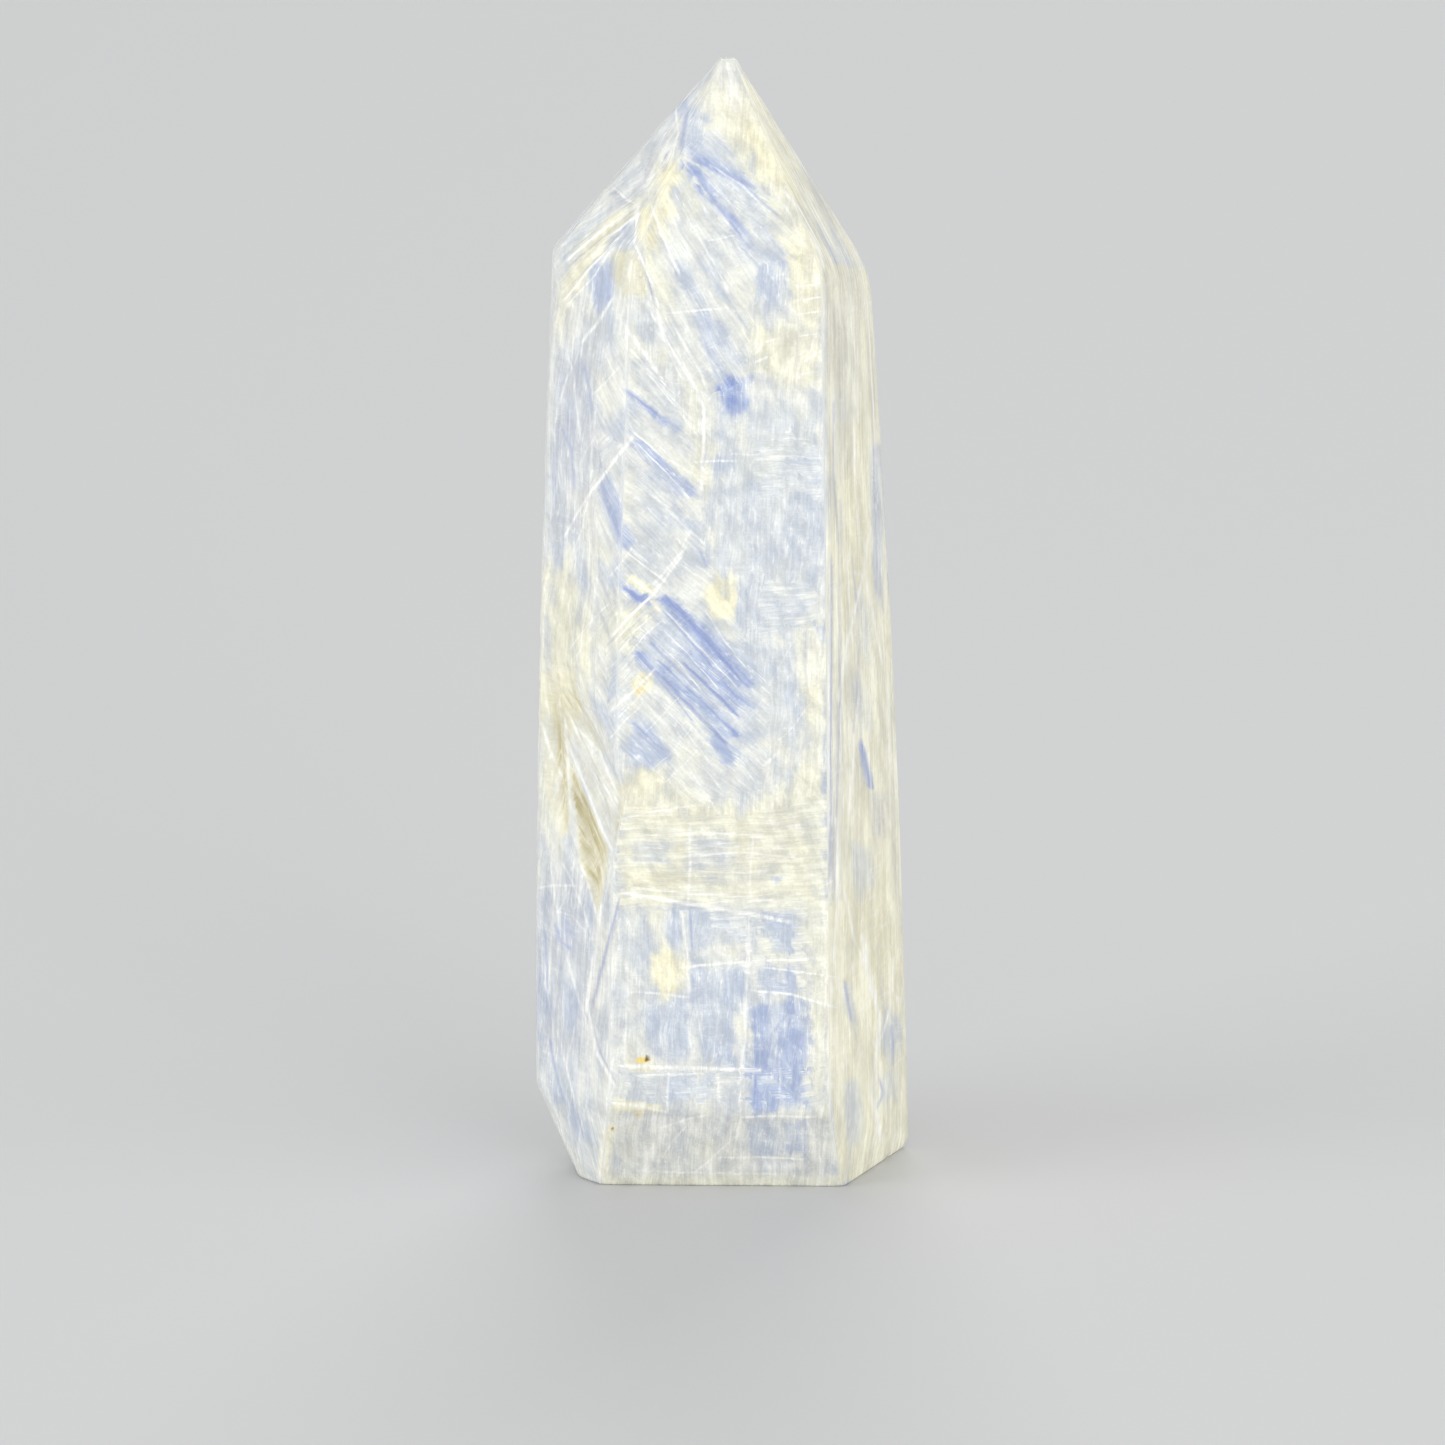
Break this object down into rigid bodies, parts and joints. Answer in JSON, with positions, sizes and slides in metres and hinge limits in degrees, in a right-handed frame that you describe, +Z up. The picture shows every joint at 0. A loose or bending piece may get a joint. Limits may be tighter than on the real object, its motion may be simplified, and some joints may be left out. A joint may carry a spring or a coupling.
{
  "type": "kyanite point",
  "caption": "Polished kyanite tower: a slender faceted column with a pointed top, an undercut flat foot and a natural hollow with broken blades on its left side.",
  "frame": {"origin": "on the foot's plane, under the middle of the stone's bounding box", "axes": "+Z up the tower to its tip, +X to the right of the broad front side, -Y out of the front side"},
  "size_m": [0.0282, 0.0204, 0.0844],
  "materials": {
    "kyanite": "polished, pale blue and cream with fibrous blades"
  },
  "bodies": {
    "root": {"kyanite_point": "kyanite"}
  },
  "joints": []
}
